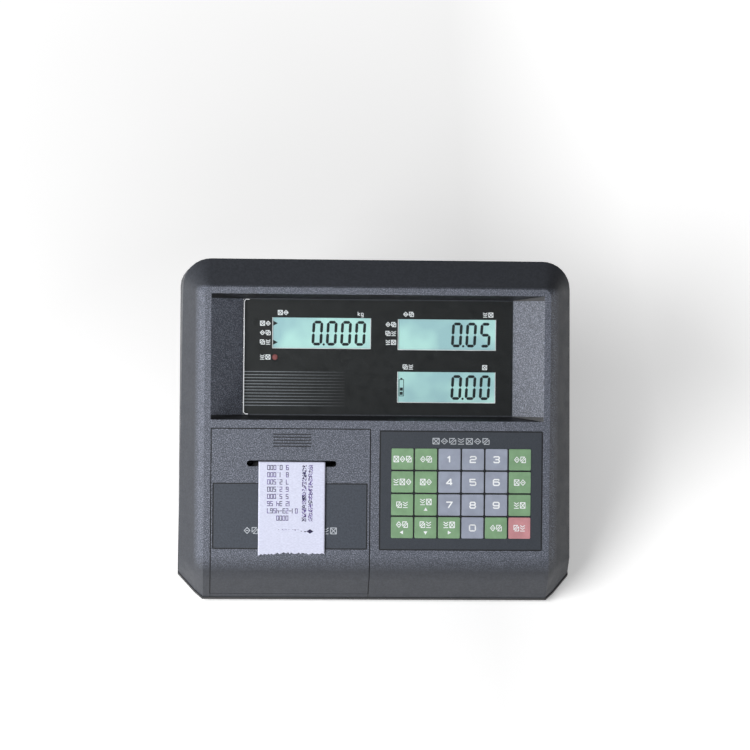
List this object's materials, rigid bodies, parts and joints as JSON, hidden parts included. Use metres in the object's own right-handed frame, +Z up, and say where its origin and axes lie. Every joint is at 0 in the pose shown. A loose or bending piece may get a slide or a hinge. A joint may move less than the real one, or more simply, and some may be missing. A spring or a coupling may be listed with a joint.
{
  "type": "weighing indicator with printer",
  "caption": "Desktop weighing indicator: sloping panel with display windows, key pad and a strip printer behind a push-off cover, on a flat base pan.",
  "frame": {"origin": "on the surface the feet stand on, under the middle of the case", "axes": "+X to the right seen from the front, -Y towards the user, +Z up"},
  "size_m": [0.266, 0.1628, 0.1652],
  "materials": {
    "case_plastic": "fine textured charcoal moulding",
    "pan_steel": "black powder coat",
    "panel_steel": "bare sheet",
    "foot_rubber": "matt",
    "screw_steel": "plated",
    "lens_clear": "clear, smooth",
    "black_print": "printed black",
    "lcd_glass": "pale green display glass",
    "white_plastic": "diffusing",
    "board": "solder mask",
    "led_red": "tinted lens",
    "overlay": "fine matt film",
    "label": "smooth film",
    "paper": "uncoated",
    "black_plastic": "moulded",
    "grey_plastic": "moulded",
    "bright_steel": "plated",
    "roller_rubber": "ground rubber",
    "brass": "machined",
    "transformer_steel": "varnished laminations",
    "battery_case": "moulded",
    "rocker_red": "moulded",
    "key_green": "matt film",
    "key_grey": "matt film",
    "key_red": "matt film"
  },
  "bodies": {
    "case": {"hood": "case_plastic", "base_pan": "pan_steel", "rear_panel": "panel_steel", "feet": "foot_rubber", "case_screws": "screw_steel", "display_lens": "lens_clear", "display_mask": "black_print", "lcd_glasses": "lcd_glass", "lcd_backlights": "white_plastic", "display_board": "board", "status_led": "led_red", "keypad_overlay": "overlay", "keypad_board": "board", "printer_tub": "black_plastic", "roll_spindle": "grey_plastic", "printer_frame": "panel_steel", "guide_rods": "bright_steel", "drive_motor": "bright_steel", "ribbon_cassette": "black_plastic", "main_board": "board", "transformer": "transformer_steel", "battery": "battery_case", "battery_bracket": "panel_steel", "mains_inlet": "black_plastic", "switch_housing": "black_plastic", "loadcell_socket": "bright_steel", "serial_socket": "bright_steel"},
    "cover": {"printer_cover": "case_plastic", "cover_label": "label", "paper_slip": "paper"},
    "roll": {"paper_roll": "paper"},
    "carriage": {"head_carriage": "black_plastic"},
    "roller": {"feed_roller": "roller_rubber"},
    "pinion": {"motor_pinion": "brass"},
    "rocker": {"power_rocker": "rocker_red"},
    "key_11": {"key_r1c1": "key_green"},
    "key_12": {"key_r1c2": "key_green"},
    "key_13": {"key_r1c3": "key_grey"},
    "key_14": {"key_r1c4": "key_grey"},
    "key_15": {"key_r1c5": "key_grey"},
    "key_16": {"key_r1c6": "key_green"},
    "key_21": {"key_r2c1": "key_green"},
    "key_22": {"key_r2c2": "key_green"},
    "key_23": {"key_r2c3": "key_grey"},
    "key_24": {"key_r2c4": "key_grey"},
    "key_25": {"key_r2c5": "key_grey"},
    "key_26": {"key_r2c6": "key_green"},
    "key_31": {"key_r3c1": "key_green"},
    "key_32": {"key_r3c2": "key_green"},
    "key_33": {"key_r3c3": "key_grey"},
    "key_34": {"key_r3c4": "key_grey"},
    "key_35": {"key_r3c5": "key_grey"},
    "key_36": {"key_r3c6": "key_green"},
    "key_41": {"key_r4c1": "key_green"},
    "key_42": {"key_r4c2": "key_green"},
    "key_43": {"key_r4c3": "key_green"},
    "key_44": {"key_r4c4": "key_grey"},
    "key_45": {"key_r4c5": "key_green"},
    "key_46": {"key_r4c6": "key_red"}
  },
  "joints": [
    {"name": "cover_slide", "type": "slide", "parent": "case", "child": "cover", "axis": [0, -1, 0], "range_m": [0, 0.085]},
    {"name": "roll_spin", "type": "hinge", "parent": "case", "child": "roll", "pos_m": [-0.0571, -0.03696, 0.04343], "axis": [1, 0, 0], "continuous": true},
    {"name": "head_travel", "type": "slide", "parent": "case", "child": "carriage", "axis": [1, 0, 0], "range_m": [-0.026, 0.026]},
    {"name": "motor_spin", "type": "hinge", "parent": "case", "child": "pinion", "pos_m": [-0.0571, -0.01362, 0.06252], "axis": [1, 0, 0], "continuous": true},
    {"name": "feed_spin", "type": "hinge", "parent": "case", "child": "roller", "pos_m": [-0.0571, -0.02282, 0.07171], "axis": [1, 0, 0], "continuous": true},
    {"name": "rocker_swing", "type": "hinge", "parent": "case", "child": "rocker", "pos_m": [0.08, 0.0725, 0.037], "axis": [0, 0, -1], "range_deg": [0, 12]},
    {"name": "press_11", "type": "slide", "parent": "case", "child": "key_11", "axis": [0, 0.7071, -0.7071], "range_m": [0, 0.0005], "stiffness_N_per_m": 800},
    {"name": "press_12", "type": "slide", "parent": "case", "child": "key_12", "axis": [0, 0.7071, -0.7071], "range_m": [0, 0.0005], "stiffness_N_per_m": 800},
    {"name": "press_13", "type": "slide", "parent": "case", "child": "key_13", "axis": [0, 0.7071, -0.7071], "range_m": [0, 0.0005], "stiffness_N_per_m": 800},
    {"name": "press_14", "type": "slide", "parent": "case", "child": "key_14", "axis": [0, 0.7071, -0.7071], "range_m": [0, 0.0005], "stiffness_N_per_m": 800},
    {"name": "press_15", "type": "slide", "parent": "case", "child": "key_15", "axis": [0, 0.7071, -0.7071], "range_m": [0, 0.0005], "stiffness_N_per_m": 800},
    {"name": "press_16", "type": "slide", "parent": "case", "child": "key_16", "axis": [0, 0.7071, -0.7071], "range_m": [0, 0.0005], "stiffness_N_per_m": 800},
    {"name": "press_21", "type": "slide", "parent": "case", "child": "key_21", "axis": [0, 0.7071, -0.7071], "range_m": [0, 0.0005], "stiffness_N_per_m": 800},
    {"name": "press_22", "type": "slide", "parent": "case", "child": "key_22", "axis": [0, 0.7071, -0.7071], "range_m": [0, 0.0005], "stiffness_N_per_m": 800},
    {"name": "press_23", "type": "slide", "parent": "case", "child": "key_23", "axis": [0, 0.7071, -0.7071], "range_m": [0, 0.0005], "stiffness_N_per_m": 800},
    {"name": "press_24", "type": "slide", "parent": "case", "child": "key_24", "axis": [0, 0.7071, -0.7071], "range_m": [0, 0.0005], "stiffness_N_per_m": 800},
    {"name": "press_25", "type": "slide", "parent": "case", "child": "key_25", "axis": [0, 0.7071, -0.7071], "range_m": [0, 0.0005], "stiffness_N_per_m": 800},
    {"name": "press_26", "type": "slide", "parent": "case", "child": "key_26", "axis": [0, 0.7071, -0.7071], "range_m": [0, 0.0005], "stiffness_N_per_m": 800},
    {"name": "press_31", "type": "slide", "parent": "case", "child": "key_31", "axis": [0, 0.7071, -0.7071], "range_m": [0, 0.0005], "stiffness_N_per_m": 800},
    {"name": "press_32", "type": "slide", "parent": "case", "child": "key_32", "axis": [0, 0.7071, -0.7071], "range_m": [0, 0.0005], "stiffness_N_per_m": 800},
    {"name": "press_33", "type": "slide", "parent": "case", "child": "key_33", "axis": [0, 0.7071, -0.7071], "range_m": [0, 0.0005], "stiffness_N_per_m": 800},
    {"name": "press_34", "type": "slide", "parent": "case", "child": "key_34", "axis": [0, 0.7071, -0.7071], "range_m": [0, 0.0005], "stiffness_N_per_m": 800},
    {"name": "press_35", "type": "slide", "parent": "case", "child": "key_35", "axis": [0, 0.7071, -0.7071], "range_m": [0, 0.0005], "stiffness_N_per_m": 800},
    {"name": "press_36", "type": "slide", "parent": "case", "child": "key_36", "axis": [0, 0.7071, -0.7071], "range_m": [0, 0.0005], "stiffness_N_per_m": 800},
    {"name": "press_41", "type": "slide", "parent": "case", "child": "key_41", "axis": [0, 0.7071, -0.7071], "range_m": [0, 0.0005], "stiffness_N_per_m": 800},
    {"name": "press_42", "type": "slide", "parent": "case", "child": "key_42", "axis": [0, 0.7071, -0.7071], "range_m": [0, 0.0005], "stiffness_N_per_m": 800},
    {"name": "press_43", "type": "slide", "parent": "case", "child": "key_43", "axis": [0, 0.7071, -0.7071], "range_m": [0, 0.0005], "stiffness_N_per_m": 800},
    {"name": "press_44", "type": "slide", "parent": "case", "child": "key_44", "axis": [0, 0.7071, -0.7071], "range_m": [0, 0.0005], "stiffness_N_per_m": 800},
    {"name": "press_45", "type": "slide", "parent": "case", "child": "key_45", "axis": [0, 0.7071, -0.7071], "range_m": [0, 0.0005], "stiffness_N_per_m": 800},
    {"name": "press_46", "type": "slide", "parent": "case", "child": "key_46", "axis": [0, 0.7071, -0.7071], "range_m": [0, 0.0005], "stiffness_N_per_m": 800}
  ],
  "couplings": [
    {"joint": "motor_spin", "follows": "feed_spin", "ratio": -2}
  ]
}
